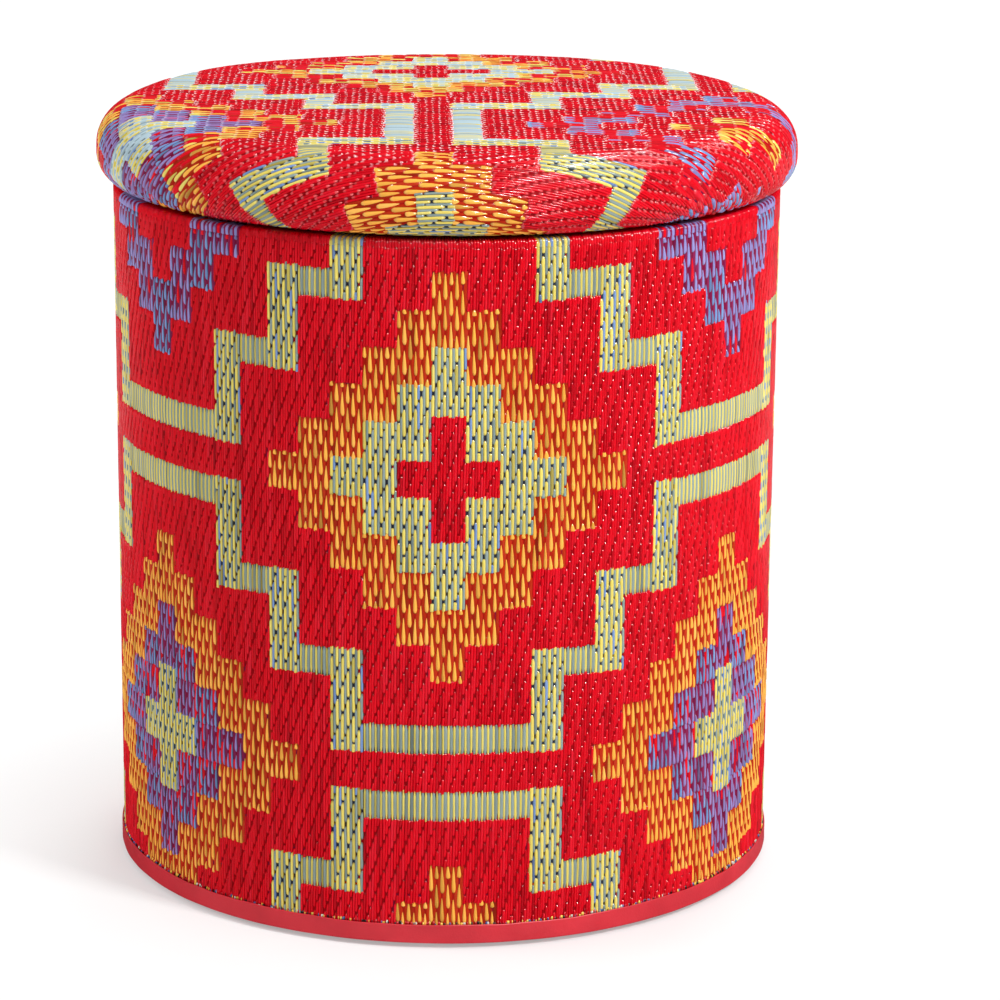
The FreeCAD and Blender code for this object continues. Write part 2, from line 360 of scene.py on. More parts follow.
def disc_grid(n):
    """A round grid of n by n points: x, y and radius on the unit disc, quads that face down, and the
    points of its edge, each after the next and as they are."""
    side = np.linspace(-1, 1, n)
    a, b = np.meshgrid(side, side, indexing="ij")
    c = np.arange(n * n).reshape(n, n)
    edge = np.concatenate([c[0, :-1], c[:-1, -1], c[-1, :0:-1], c[:0:-1, 0]])
    x, y = a * np.sqrt(1 - b * b / 2), b * np.sqrt(1 - a * a / 2)
    return x, y, np.hypot(x, y), strip_faces(1, n, n), (np.roll(edge, -1), edge)


def stack_faces(cap, edge, layers, size):
    """Quads of a closed solid of round layers with size points each: its two caps and the skirts between."""
    a, b = edge
    skirts = [np.stack([a, b, b + size, a + size], axis=-1) + k * size for k in range(layers - 1)]
    return np.concatenate([cap, cap[:, ::-1] + (layers - 1) * size] + skirts)


def add_object(name, data):
    """A new object in the scene."""
    thing = bpy.data.objects.new(name, data)
    bpy.context.scene.collection.objects.link(thing)
    return thing


def add_mesh(name, points, faces, body, material, values=None, smooth=True):
    """A piece from arrays of points and quads, riding on a CAD body."""
    mesh = bpy.data.meshes.new(name)
    points = np.asarray(points, dtype=np.float32).reshape(-1, 3)
    faces = np.asarray(faces, dtype=np.int32).reshape(-1, 4)
    mesh.vertices.add(len(points))
    mesh.vertices.foreach_set("co", points.ravel())
    mesh.loops.add(faces.size)
    mesh.loops.foreach_set("vertex_index", faces.ravel())
    mesh.polygons.add(len(faces))
    starts = np.arange(0, faces.size, 4, dtype=np.int32)
    mesh.polygons.foreach_set("loop_start", starts)
    for key, array in (values or {}).items():
        layer = mesh.attributes.new(key, "FLOAT", "POINT")
        layer.data.foreach_set("value", np.asarray(array, dtype=np.float32).ravel())
    mesh.update(calc_edges=True)
    mesh.validate()
    mesh.polygons.foreach_set("use_smooth", np.full(len(mesh.polygons), smooth))
    mesh.materials.append(material)
    piece = add_object(name, mesh)
    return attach(piece, body)


def profile_line(parts, sense=1):
    """The outline of a turned form: arc length, radius, height and outward normal along it.

    parts are ("line", r0, z0, r1, z1) and ("arc", r, z, radius, from, to), the angles in degrees.
    sense is 1 where the outside is on the right of the way along the outline, and -1 on the left.
    """
    columns = []
    for kind, *numbers in parts:
        if kind == "line":
            r0, z0, r1, z1 = numbers
            t = np.linspace(0, 1, 60)
            long = math.hypot(r1 - r0, z1 - z0)
            out, up = sense * (z1 - z0) / long, -sense * (r1 - r0) / long
            columns.append((r0 + (r1 - r0) * t, z0 + (z1 - z0) * t, out + 0 * t, up + 0 * t))
        else:
            r, z, size, begin, end = numbers
            a = np.radians(np.linspace(begin, end, 80))
            columns.append((r + size * np.cos(a), z + size * np.sin(a), np.cos(a), np.sin(a)))
    radius, height, out, up = (np.concatenate(c) for c in zip(*columns))
    step = np.hypot(np.diff(radius), np.diff(height))
    keep = np.concatenate([[True], step > 1e-9])
    length = np.concatenate([[0], np.cumsum(step)])
    return tuple(x[keep] for x in (length, radius, height, out, up))


def on_line(line, s):
    """Radius, height and normal at arc length s."""
    return tuple(np.interp(s, line[0], x) for x in line[1:])


def drum_line(edge=0.0012):
    """Under the drum's straws: up the wall, over the rim and down the inside of the hoop."""
    radius, inner, top = WALL_RADIUS + GROUND, MOUTH_RADIUS + CROWN, DRUM_TOP - CROWN
    return profile_line([
        ("line", radius, side_low.z, radius, top - edge),
        ("arc", radius - edge, top - edge, edge, 0, 90),
        ("line", radius - edge, top, inner + edge, top),
        ("arc", inner + edge, top - edge, edge, 90, 180),
        ("line", inner, top - edge, inner, hoop_low.z),
    ])


def lid_line(inset=CROWN):
    """Under the lid's straws: from the middle of the crown over the shoulder and roll, and under."""
    shoulder_r, roll_r = LID_RADIUS - LID_SHOULDER, LID_RADIUS - LID_ROLL
    shoulder_z = LID_BOTTOM + LID_ROLL + LID_SIDE
    rise = LID_SHOULDER + LID_CROWN_RISE
    crown = (shoulder_r ** 2 + rise ** 2 - LID_SHOULDER ** 2) / (2 * LID_CROWN_RISE)
    meet = 90 - math.degrees(math.asin(shoulder_r / (crown - LID_SHOULDER)))
    return profile_line([
        ("arc", 0, LID_TOP - crown, crown - inset, 90, meet),
        ("arc", shoulder_r, shoulder_z, LID_SHOULDER - inset, meet, 0),
        ("line", LID_RADIUS - inset, shoulder_z, LID_RADIUS - inset, LID_BOTTOM + LID_ROLL),
        ("arc", roll_r, LID_BOTTOM + LID_ROLL, LID_ROLL - inset, 0, -90),
        ("line", roll_r, LID_BOTTOM + inset, LID_MAT_END, LID_BOTTOM + inset),
    ], -1)


def around(r, turn, z):
    """Points at a radius, an angle from the front and a height."""
    return np.stack([r * np.sin(turn), -r * np.cos(turn), z], axis=-1)


def all_round(n):
    """The angles of n points round a circle."""
    return np.linspace(-math.pi, math.pi, n, endpoint=False)[:, None]


DRUM_LINE = drum_line()


def on_drum(p, q, h):
    """Lays the mat round the drum: p is the distance from the front, q the distance up its line."""
    r, z, out, up = on_line(DRUM_LINE, q)
    return around(r + out * h, p / BODY_RADIUS, z + up * h)


def lid_swell(x, y):
    """How far the padding's unevenness lifts the lid's cover."""
    return (
        0.0006 * np.sin(9.0 * x + 0.7) * np.cos(11.0 * y - 0.4)
        + 0.0004 * np.sin(21.0 * x - 13.0 * y + 1.1)
        + 0.0003 * np.sin(34.0 * y + 17.0 * x)
        - 0.0006
    )


def over_lid(line):
    """Lays the flat mat over the lid: straws run along X, and distances from the middle are kept.

    The padding's swell and the lid's lean fade out towards the roll.
    """
    def place(p, q, h):
        flat = np.hypot(p, q)
        turn = np.arctan2(p, q)
        r, z, out, up = on_line(line, flat)
        h = h + fade(flat, *SWELL_END) * lid_swell(q, p)
        r = r + out * h
        x, y = r * np.cos(turn), r * np.sin(turn)
        lean = LID_LEAN * y * fade(flat, *LEAN_END)
        return np.stack([x, y, z + up * h + lean], axis=-1)
    return place


WHITE, BLACK = (1, 1, 1, 1), (0, 0, 0, 1)


class Look:
    """The nodes of a material or world, made and joined one by one."""

    def __init__(self, name, kind="materials"):
        self.owner = getattr(bpy.data, kind).new(name)
        self.owner.use_nodes = True
        self.nodes, self.links = self.owner.node_tree.nodes, self.owner.node_tree.links

    def fill(self, node, inputs):
        """Sets a node's inputs, each to a constant or to another node's output."""
        for socket, value in inputs.items():
            if isinstance(value, bpy.types.NodeSocket):
                self.links.new(value, node.inputs[socket])
            else:
                node.inputs[socket].default_value = value

    def add(self, kind, inputs, out=0, **settings):
        """One output of a new node."""
        node = self.nodes.new("ShaderNode" + kind)
        for name, value in settings.items():
            setattr(node, name, value)
        self.fill(node, inputs)
        return node.outputs[out]

    def attribute(self, name):
        return self.add("Attribute", {}, "Fac", attribute_name=name)

    def place(self):
        return self.add("TexCoord", {}, "Object")

    def rays(self):
        """Whether a ray comes from the camera, and whether it is a reflection."""
        return (self.add("LightPath", {}, kind) for kind in ("Is Camera Ray", "Is Glossy Ray"))

    def maths(self, operation, *values):
        return self.add("Math", dict(enumerate(values)), operation=operation)

    def mapped(self, value, low, high, start=0.0, end=1.0):
        """A value from start to end, turned into one from low to high."""
        return self.add("MapRange", {"Value": value, "From Min": start, "From Max": end,
                                     "To Min": low, "To Max": high}, "Result")

    def mixed(self, share, a, b, blend="MIX"):
        return self.add("Mix", {0: share, 6: a, 7: b}, 2, data_type="RGBA", blend_type=blend)

    def multiplied(self, a, b):
        return self.mixed(1.0, a, b, "MULTIPLY")

    def ramp(self, value, stops, fill="LINEAR"):
        """The colour of a value on a ramp with (place, linear colour) stops."""
        colour = self.add("ValToRGB", {"Fac": value}, "Color")
        scale = colour.node.color_ramp
        scale.interpolation = fill
        for n, (at, shade) in enumerate(stops):
            stop = scale.elements[n] if n < 2 else scale.elements.new(at)
            stop.position = at
            stop.color = shade
        return colour

    def tinted(self, value, stops, fill="LINEAR"):
        """A ramp with (place, sRGB colour) stops."""
        return self.ramp(value, [(at, linear(colour)) for at, colour in stops], fill)

    def noise(self, place, scale, detail=4.0, stretch=(1, 1, 1)):
        vector = self.add("Mapping", {"Vector": place, "Scale": stretch}, "Vector")
        return self.add("TexNoise", {"Vector": vector, "Scale": scale, "Detail": detail}, "Fac")

    def relief(self, height, strength, depth):
        """A normal bumped by a height from 0 to 1."""
        return self.add("Bump", {"Strength": strength, "Distance": depth, "Height": height}, "Normal")

    def surface(self, colour, rough, specular=0.5, normal=None):
        """The finished material."""
        inputs = {"Base Color": colour, "Roughness": rough, "Specular IOR Level": specular}
        if normal:
            inputs["Normal"] = normal
        self.fill(self.nodes["Principled BSDF"], inputs)
        return self.owner


def straw_material(name, colour, side_shade, rough=0.15):
    """Glossy extruded plastic: each straw lighter or darker, with painted shade at its ends where it goes
    under and along its sides, and painted highlights on the bends."""
    look = Look(name)
    base = np.array(colour)
    # light is the lightest random tone; the second colour is that of the painted highlights
    light, painted_sheen = (1 - (1 - base) * share for share in (0.90, 0.14))
    tint = look.tinted(look.attribute("tone"), [(0.0, base * 0.70), (0.5, base), (1.0, light)])
    along = look.attribute("along")
    # painted shade at each float's ends, where it dips under the next straw
    ends = look.ramp(along, [(0.0, (0.45, 0.36, 0.34, 1)), (0.08, WHITE), (0.90, WHITE),
                             (1.0, (0.62, 0.45, 0.42, 1))])
    # painted shade along each float's sides, darkest on one side, for the shadowed gaps beside it
    half_side_shade = tuple(0.5 + 0.5 * c for c in side_shade)
    edges = look.ramp(look.attribute("across"), [(0.06, half_side_shade + (1,)), (0.16, WHITE), (0.78, WHITE),
                                                 (0.92, side_shade + (1,))])
    # painted highlight: the bends are mixed towards a light colour, standing in for glints
    bends = look.ramp(along, [(0.03, BLACK), (0.06, WHITE), (0.13, WHITE), (0.19, BLACK),
                              (0.83, BLACK), (0.87, WHITE), (0.92, WHITE), (0.96, BLACK)])
    painted_highlight = look.maths("MULTIPLY", bends, look.attribute("painted_highlight"))
    fresh = look.multiplied(look.multiplied(tint, ends), edges)
    return look.surface(look.mixed(painted_highlight, fresh, linear(painted_sheen)), rough, 0.4)


def mottled(name, dark, light, scale, rough=0.7, bump=0.0, bump_scale=400.0):
    """A surface with an uneven tone and, where asked, a fine relief."""
    look = Look(name)
    place = look.place()
    tint = look.tinted(look.noise(place, scale, 6.0), [(0.3, dark), (0.7, light)])
    if not bump:
        return look.surface(tint, rough)
    fine = look.noise(place, bump_scale, 2.0)
    return look.surface(tint, rough, normal=look.relief(fine, bump, 0.0005))


def plywood_material(ply=0.0017):
    """Birch plywood: long grain on the faces, and alternating plies on the edges."""
    look = Look("plywood")
    place = look.place()
    grain = look.noise(place, 60.0, 8.0, (1, 14, 14))
    face = look.tinted(grain, [(0.30, (0.70, 0.53, 0.34)), (0.52, (0.82, 0.67, 0.47)),
                               (0.72, (0.87, 0.74, 0.55))])
    level = look.maths("DIVIDE", look.add("SeparateXYZ", {0: place}, "Z"), 2 * ply)
    plies = look.tinted(look.maths("FRACT", level), [
        (0.0, (0.83, 0.69, 0.49)), (0.48, (0.78, 0.62, 0.42)), (0.50, (0.40, 0.25, 0.14)),
        (0.54, (0.60, 0.43, 0.26)), (0.98, (0.64, 0.47, 0.29))])
    facing = look.add("SeparateXYZ", {0: look.add("TexCoord", {}, "Normal")}, "Z")
    flat = look.maths("GREATER_THAN", look.maths("ABSOLUTE", facing), 0.5)
    return look.surface(look.mixed(flat, plies, face), 0.55, normal=look.relief(grain, 0.25, 0.0003))


def cloth_material(name, colour, thread=0.0011, wall_radius=0.0):
    """Plain-woven cloth; on a round wall its threads run round and up, else along X and Y."""
    look = Look(name)
    place = look.place()
    across, along, up = (look.add("SeparateXYZ", {0: place}, axis) for axis in "XYZ")
    if wall_radius:
        across, along = look.maths("MULTIPLY", look.maths("ARCTAN2", across, along), wall_radius), up
    waves = [look.maths("SINE", look.maths("MULTIPLY", way, math.pi / thread)) for way in (across, along)]
    woven = look.maths("MULTIPLY_ADD", look.maths("MULTIPLY", *waves), 0.5, 0.5)
    base = np.array(colour)
    shade = look.tinted(woven, [(0.0, base * 0.80), (0.55, base), (1.0, base * 1.06)])
    slub = look.ramp(look.noise(place, 70.0, 6.0, (1, 1, 5)), [(0.3, (0.82, 0.80, 0.76, 1)), (0.7, WHITE)])
    return look.surface(look.multiplied(shade, slub), 0.9, 0.2, look.relief(woven, 0.5, 0.0003))


def vinyl_material():
    """Red upholstery vinyl with a pressed leather grain and slight scuffs."""
    look = Look("red_vinyl")
    place = look.place()
    tint = look.tinted(look.noise(place, 30.0, 6.0), [(0.3, (0.76, 0.11, 0.17)), (0.7, (0.84, 0.15, 0.21))])
    pebbles = look.add("TexVoronoi", {"Vector": place, "Scale": 900.0}, "Distance")
    scuffs = look.mapped(look.noise(place, 140.0), 0.34, 0.52)
    return look.surface(tint, scuffs, normal=look.relief(pebbles, 0.3, 0.0002))


def banded_material(name, value, stops, rough, specular=0.5):
    """A plain colour for each range of a point's value."""
    look = Look(name)
    return look.surface(look.tinted(look.attribute(value), stops, "CONSTANT"), rough, specular)


def screw_material():
    """Bright zinc plate, with painted shade inside the cross recess."""
    look = Look("screw_steel")
    specks = look.noise(look.place(), 900.0)
    shine = look.tinted(specks, [(0.3, (0.62, 0.62, 0.60)), (0.7, (0.78, 0.78, 0.75))])
    # painted shade: the cross recess is darkened
    depth = look.ramp(look.attribute("recess"), [(0.2, WHITE), (0.8, (0.10, 0.10, 0.10, 1))])
    return look.surface(look.multiplied(shine, depth), 0.38)


def ground_tone(area):
    """The ground's colour class at each point: 0 red, 0.3 lilac, 0.6 orange, 0.9 grey and bars."""
    purple = (area == LILAC) | (area == VIOLET) | (area == AZURE)
    return np.select([area == RED, purple, area == ORANGE], [0.0, 0.3, 0.6], 0.9)


# Colours of the painted shade along the floats' sides, for the shadowed gaps between straws
SIDE_SHADES = {"red": (0.70, 0.55, 0.50), "gold": (0.50, 0.32, 0.20)}
OTHER_SIDE_SHADES = (0.24, 0.19, 0.16)
STRAW = {name: straw_material("straw_" + name, colour, SIDE_SHADES.get(name, OTHER_SIDE_SHADES))
         for name, colour in COLOURS.items()}
STRAW_VALUES = ("tone", "along", "across", "painted_highlight")

# Cut straw ends, in whatever colour each straw has
CUT_ENDS = banded_material("straw_cut_ends", "tone", [
    (0.0, (0.80, 0.03, 0.10)), (0.30, (0.95, 0.80, 0.30)), (0.52, (0.30, 0.38, 0.62)),
    (0.66, (0.85, 0.85, 0.80)), (0.76, (0.12, 0.07, 0.06))], 0.4)

# What shows between the straws: the crossing strips in each area's colour, made darker as painted shade for
# the gaps between the straws
GROUND_LOOK = banded_material("mat_ground", "area", [
    (0.0, (0.58, 0.01, 0.05)), (0.2, (0.44, 0.03, 0.18)), (0.45, (0.64, 0.08, 0.03)),
    (0.75, (0.17, 0.18, 0.22))], 0.6, 0.05)

WOOD = plywood_material()
SCREW = screw_material()
STEEL = mottled("steel_wire", (0.55, 0.56, 0.58), (0.70, 0.71, 0.73), 200.0, 0.35)
VINYL = vinyl_material()
COTTON = (0.84, 0.79, 0.69)
CLOTH = cloth_material("lining_cloth", COTTON)
WALL_CLOTH = cloth_material("lining_cloth_wall", COTTON, wall_radius=WALL_RADIUS - WALL_THICKNESS)
DUST = cloth_material("dust_cover", (0.10, 0.10, 0.11), 0.0006)
PLASTIC = mottled("black_plastic", (0.03, 0.03, 0.03), (0.06, 0.06, 0.06), 90.0, 0.45, 0.1, 700.0)
FOAM = mottled("foam", (0.86, 0.80, 0.60), (0.92, 0.87, 0.70), 200.0, 0.9, 0.5, 900.0)
WADDING = mottled("wadding", (0.86, 0.86, 0.84), (0.95, 0.95, 0.94), 80.0, 0.95, 0.6, 300.0)


def straw_pieces(name, points, faces, values, body, material):
    """One piece, or several where there are too many faces for one."""
    parts = -(-len(faces) // FACES_PER_PIECE)
    pieces = []
    for number, some in enumerate(np.array_split(faces, parts)):
        used, place = np.unique(some, return_inverse=True)
        label = name if parts == 1 else name + "_" + str(number + 1)
        kept = {key: array[used] for key, array in values.items()}
        pieces.append(add_mesh(label, points[used], place, body, material, kept))
    return pieces


def cells(u, v):
    """A number from 0 to 1 for each step of the pattern."""
    table = rng.random((60, 60))
    return table[np.round(u).astype(int) % 60, np.round(v).astype(int) % 60]


def weave(prefix, floats, centre, along, edge, lost, cell, place, body, broad=1.0, painted_highlight=0.0,
          under_lilac="plum", shade=0.0):
    """Makes the pieces of each straw colour from a list of floats; along turns rows into lengths.

    broad widens the pointed floats, the argument after it sets how strong the painted highlight on each
    float's bends is, and shade is painted shade that darkens them all.
    """
    straw, first, last, area, low_dip, high_dip = floats
    colour = colours_of(area, straw, edge, lost, cell, under_lilac)
    kind = float_kind(straw, area)
    number = len(straw)
    # shade is painted shade, taken off each float's tone
    tone = 0.5 - shade + STRAW_TONE * rng.standard_normal(straw.max() + 1)[straw]
    tone = tone + FLOAT_TONE * rng.standard_normal(number)
    centre = centre + STRAY_ACROSS * rng.standard_normal(number)
    lean = STRAY_LEAN * rng.standard_normal(number)
    nudge = STRAY_ROWS * rng.standard_normal(number)
    # each float's painted highlight, weaker by chance and where the float is pointed
    painted_highlight = painted_highlight * np.clip(HIGHLIGHT_MOST - HIGHLIGHT_SPREAD * rng.random(number), 0, 1)
    painted_highlight = painted_highlight * np.where(np.isin(kind, POINTED), HIGHLIGHT_POINTED, 1)
    pieces = []
    for c, name in enumerate(COLOUR_NAMES):
        parts, count = [], 0
        for k, (_, _, wide, high, below, over, run_on) in FLOAT_KINDS.items():
            chosen = (colour == c) & (kind == k)
            n = int(chosen.sum())
            if not n:
                continue
            begin = first[chosen] + nudge[chosen] + np.where(low_dip[chosen], below, -run_on)
            end = last[chosen] + nudge[chosen] - np.where(high_dip[chosen], over, -run_on)
            width = wide * (broad if k in POINTED else 1) * (1 + UNEVEN_WIDTH * rng.standard_normal(n))
            height = high * (1 - UNEVEN_HEIGHT * rng.random(n))
            p, f, *shares = float_points(k, centre[chosen], along(begin), along(end), width, height,
                                         LEAN.get(k, 0) + lean[chosen], place)
            if k not in STANDING:
                shares = [np.full(len(p), 0.5)] * 2
            tones, highlights = (np.repeat(x[chosen], len(p) // n) for x in (tone, painted_highlight))
            parts.append((p, f + count, tones, *shares, highlights))
            count += len(p)
        if parts:
            points, faces, *values = (np.concatenate(x) for x in zip(*parts))
            pieces += straw_pieces(prefix + "_" + name, points, faces, dict(zip(STRAW_VALUES, values)), body,
                                   STRAW[name])
    return pieces


def drum_columns():
    """The angle from the front of each straw round the drum, and its place across the pattern."""
    half = math.pi - SEAM / (2 * BODY_RADIUS)
    turn = half * (2 * (np.arange(STRAWS_ROUND) + 0.5) / STRAWS_ROUND - 1)
    return turn, turn / STEP_ANGLE - MOTIF_TURN


def drum_rows(under_band=0.002, below_rim=0.003):
    """Row length, level of row 0, and the first row and the one past the last on the drum's wall."""
    row = STEP_LENGTH / ROWS_PER_STEP
    low = MOTIF_LEVEL - (ROWS_PER_STEP / 2) * row
    first, last = (band_high.z - under_band - low) / row, (DRUM_TOP - below_rim - low) / row
    return row, low, math.ceil(first), math.floor(last)


def side_straws():
    """The straws up the drum's wall."""
    row, low, first_row, last_row = drum_rows()
    rows = np.arange(first_row, last_row)
    turn, u = drum_columns()
    area = pattern(*np.meshgrid(u, steps_along(rows), indexing="ij"))
    floats = floats_of(area, first_row)
    straw, first = floats[:2]

    def along(count):
        """Length up the mat, which is drawn down a little where it is pulled under the foot."""
        z = low + (first_row + count) * row
        pull = FOOT_PULL * np.clip((FOOT_PULL_FROM - z) / FOOT_PULL_OVER, 0, 1.4) ** 1.3
        return z - pull - side_low.z

    lost = np.where(np.isin(floats[3], (LILAC, VIOLET)), LILAC_LOST, 0.0)
    cell = cells(u[straw], steps_along(rows[first]))
    return weave("side_straws", floats, turn[straw] * BODY_RADIUS, along,
                 edge_straws(area)[straw, first], lost, cell, on_drum, "drum")


def lid_straws(short=0.006, spare=0.1):
    """The straws across the lid, to just short of the mat's edge: worn, with painted highlights and a painted
    sheen on its top.
    """
    row = LID_STEP_LENGTH / ROWS_PER_STEP
    line = lid_line()
    reach = line[0][-1] - short
    span = reach + spare
    reach_straws = int(span / PITCH) | 1
    y = (np.arange(-reach_straws, reach_straws) + 0.5) * PITCH
    rows = np.arange(-int(span / row), int(span / row))
    u = ACROSS / 2 + y / (STRAWS_PER_STEP * PITCH)
    area = pattern(*np.meshgrid(u, steps_along(rows), indexing="ij"))
    floats = floats_of(area, rows[0])

    def along(count):
        return (rows[0] - ROWS_PER_STEP / 2 + count) * row

    def flat(p, q):
        """From the mat's own frame to the lid's flat frame, as (across, along) the lid."""
        return (q * math.sin(LID_TWIST) + p * math.cos(LID_TWIST) + LID_SHIFT_Y,
                q * math.cos(LID_TWIST) - p * math.sin(LID_TWIST) + LID_SHIFT_X)

    lay = over_lid(line)
    ends = [np.hypot(*flat(y[floats[0]], along(end))) for end in floats[1:3]]
    inside = (ends[0] < reach) & (ends[1] < reach)
    floats = tuple(x[inside] for x in floats)
    straw, first, last, kind = floats[:4]
    cell = cells(u[straw], 2 * steps_along(rows[first]))
    # 0 towards the lid's front, 1 elsewhere: there floats are worn, and bars and greys take the painted sheen
    worn_and_sheen = np.clip((y[straw] + LID_SHIFT_Y - WORN_AND_SHEEN_FROM) / WORN_AND_SHEEN_OVER, 0, 1)
    lost = np.select([kind == LILAC, kind == ORANGE, kind == BAR, kind == GREY],
                     [np.where(cell < LILAC_CELLS, *LILAC_WORN),
                      worn_and_sheen * np.where(cell < ORANGE_CELLS, *ORANGE_WORN),
                      BAR_SHEEN * worn_and_sheen, GREY_SHEEN * worn_and_sheen], 0.0)
    middle = np.hypot(*flat(y[straw], along(0.5 * (first + last))))
    # painted highlights: weak everywhere, strong on the lid's top
    painted_highlight = HIGHLIGHT_LEAST + HIGHLIGHT_TOP * fade(middle, *HIGHLIGHT_END)
    # on the lid the red takes painted shade where its painted highlights are strong, on the top
    return weave("lid_straws", floats, y[straw], along, edge_straws(area)[straw, first], lost, cell,
                 lambda p, q, h: lay(*flat(p, q), h), "lid", broad=1.30, painted_highlight=painted_highlight, under_lilac="red",
                 shade=np.where(kind == RED, RED_SHADE * painted_highlight - RED_LIFT, 0.0))


def rim_straws(overlap=0.0006, short=0.0005, least=0.3, tuck=0.0003, end_tuck=0.0005, spread=0.12):
    """The straws' last stretch, over the rim and down inside the hoop; both ends are tucked down."""
    row, low, _, last_row = drum_rows()
    turn, u = drum_columns()
    area = pattern(u, np.full(len(u), steps_along(last_row - 1)))
    straw = np.arange(STRAWS_ROUND)
    plain = np.zeros(len(u))
    colour = colours_of(area, straw, plain > 0, np.where(area == LILAC, LILAC_LOST, 0.0), plain)
    kind = float_kind(straw, area)
    wide, high = (np.array([FLOAT_KINDS[k][n] for k in kind])[:, None] for n in (2, 3))
    phase = ((last_row - straw + 1) % TWILL)[:, None]
    start, stop = low + last_row * row - overlap - side_low.z, DRUM_LINE[0][-1] - short
    s = start + (stop - start) * np.linspace(0, 1, 64)
    w = np.linspace(-1, 1, 3)
    each = s.size * w.size
    t = ((s - start) / row + phase) % TWILL / TWILL
    standing = np.isin(kind, STANDING)[:, None]
    taper, height = (np.where(standing, np.clip(shape("rib", t), least, 1), 1) * size
                     for shape, size in ((outline, wide), (rise_of, high)))
    p = (turn * BODY_RADIUS)[:, None, None] + taper[:, :, None] * w
    h = height[:, :, None] * (1 - np.abs(w) ** DOME)
    h[:, 0] -= tuck
    h[:, -1] -= end_tuck
    points = on_drum(p, s[:, None] + np.zeros_like(p), h)
    along = np.where(standing, t, 0.5)
    pieces = []
    for c, name in enumerate(COLOUR_NAMES):
        chosen = colour == c
        n = int(chosen.sum())
        if n:
            tone = np.repeat(0.5 + spread * rng.standard_normal(n), each)
            values = {"tone": tone, "along": np.repeat(along[chosen], w.size),
                      "across": np.full(n * each, 0.5)}
            pieces.append(add_mesh("rim_straws_" + name, points[chosen], strip_faces(n, s.size, w.size),
                                   "drum", STRAW[name], values))
    return pieces


def cut_ends():
    """The straws' cut ends, just above the foot band."""
    turn, _ = drum_columns()
    number = len(turn)
    centre = turn * BODY_RADIUS + 0.2 * PITCH * rng.standard_normal(number)
    low = band_high.z - side_low.z - 0.0012 + 0.0003 * rng.standard_normal(number)
    high = low + 0.0022 + 0.0006 * rng.random(number)
    wide = 0.55 * PITCH * (0.7 + 0.5 * rng.random(number))
    tall = CROWN * (0.95 + 0.25 * rng.random(number))
    points, faces, *_ = float_points("bar", centre, low, high, wide, tall, np.zeros(number), on_drum)
    tone = np.repeat(rng.random(number), len(points) // number)
    return add_mesh("foot_cut_ends", points, faces, "drum", CUT_ENDS, {"tone": tone})


def sheet_turned(line, places, thickness, segments, shift=None, seam=0.0):
    """A sheet of revolution along a line; shift(turn, r, z) moves it, and a seam leaves it open."""
    r, z, out, up = on_line(line, np.asarray(places))
    loop_r = np.concatenate([r, (r - out * thickness)[::-1]])
    loop_z = np.concatenate([z, (z - up * thickness)[::-1]])
    n = len(loop_r)
    half = math.pi - seam / (2 * BODY_RADIUS)
    turn = np.linspace(-half, half, segments, endpoint=bool(seam))[:, None]
    loop_r, loop_z = loop_r + 0 * turn, loop_z + 0 * turn
    if shift:
        loop_r, loop_z = shift(turn, loop_r, loop_z)
    points = around(loop_r, turn, loop_z).reshape(-1, 3)
    faces = ring_faces(segments, n)[:, :, FLIP]
    if not seam:
        return points, faces.reshape(-1, 4)
    half_loop = np.arange(n // 2 - 1)
    cap = np.stack([half_loop, half_loop + 1, n - 2 - half_loop, n - 1 - half_loop], axis=-1)
    ends = [cap, cap[:, ::-1] + (segments - 1) * n]
    return points, np.concatenate([faces[:-1].reshape(-1, 4)] + ends)


def side_ground():
    """The crossing strips behind the drum's straws, from the foot over the rim."""
    wall = np.linspace(0, DRUM_TOP - 0.004 - side_low.z, 97)
    rim = np.linspace(DRUM_TOP - 0.0035 - side_low.z, DRUM_LINE[0][-1], 30)
    points, faces = sheet_turned(DRUM_LINE, np.concatenate([wall, rim]), GROUND_THICKNESS,
                                 STRAWS_ROUND // 2, seam=SEAM)
    turn = np.arctan2(points[:, 0], -points[:, 1])
    area = pattern(turn / STEP_ANGLE - MOTIF_TURN, (points[:, 2] - MOTIF_LEVEL) / STEP_LENGTH)
    return add_mesh("side_mat_ground", points, faces, "drum", GROUND_LOOK, {"area": ground_tone(area)})


def lid_ground(n=360, m=138):
    """The crossing strips behind the lid's straws."""
    line = lid_line()
    lay = over_lid(line)
    s = np.linspace(0.0005, line[0][-1], m)
    turn = all_round(n)
    across, along = s * np.sin(turn), s * np.cos(turn)
    upper_face, lower_face = (lay(across, along, np.full((n, m), h)) for h in (0.0, -GROUND_THICKNESS))
    grid = np.concatenate([upper_face, lower_face[:, ::-1]], axis=1)
    y, x = across - LID_SHIFT_Y, along - LID_SHIFT_X
    y, x = y - LID_TWIST * x, x + LID_TWIST * y
    tone = ground_tone(pattern(ACROSS / 2 + y / (STRAWS_PER_STEP * PITCH), x / LID_STEP_LENGTH))
    values = {"area": np.concatenate([tone, tone[:, ::-1]], axis=1)}
    return add_mesh("lid_mat_ground", grid, ring_faces(n, 2 * m), "lid", GROUND_LOOK, values)


